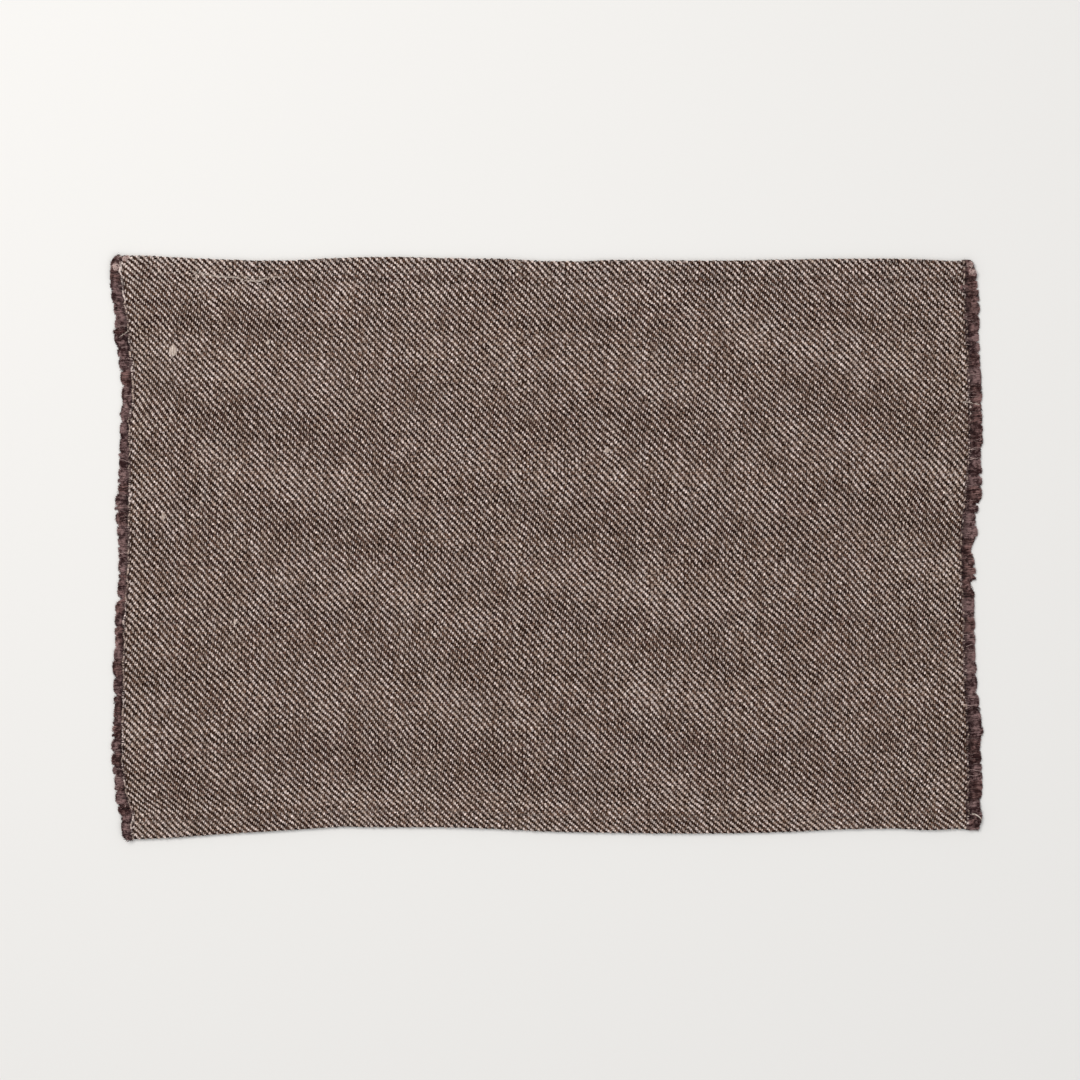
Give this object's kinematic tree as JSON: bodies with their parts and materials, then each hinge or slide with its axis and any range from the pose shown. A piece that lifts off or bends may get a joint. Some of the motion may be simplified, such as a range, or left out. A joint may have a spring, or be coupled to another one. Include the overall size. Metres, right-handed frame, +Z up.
{
  "type": "fabric placemat",
  "caption": "Rectangular fabric placemat in beige and dark brown twill, with turned-under hems on its long edges and a short dark fringe along both ends.",
  "frame": {"origin": "middle of the mat's box on its underside, where it rests on the table", "axes": "+X along the mat's length towards the right fringed end, +Y towards the far hem, +Z up out of the face"},
  "size_m": [0.458, 0.3094, 0.0028],
  "materials": {
    "twill_cloth": "matte woven twill, beige warp and dark brown weft",
    "weft_ends": "matte fuzzy yarn ends, dark purple-brown"
  },
  "bodies": {
    "root": {"cloth": "twill_cloth", "fringe_left": "weft_ends", "fringe_right": "weft_ends"}
  },
  "joints": []
}
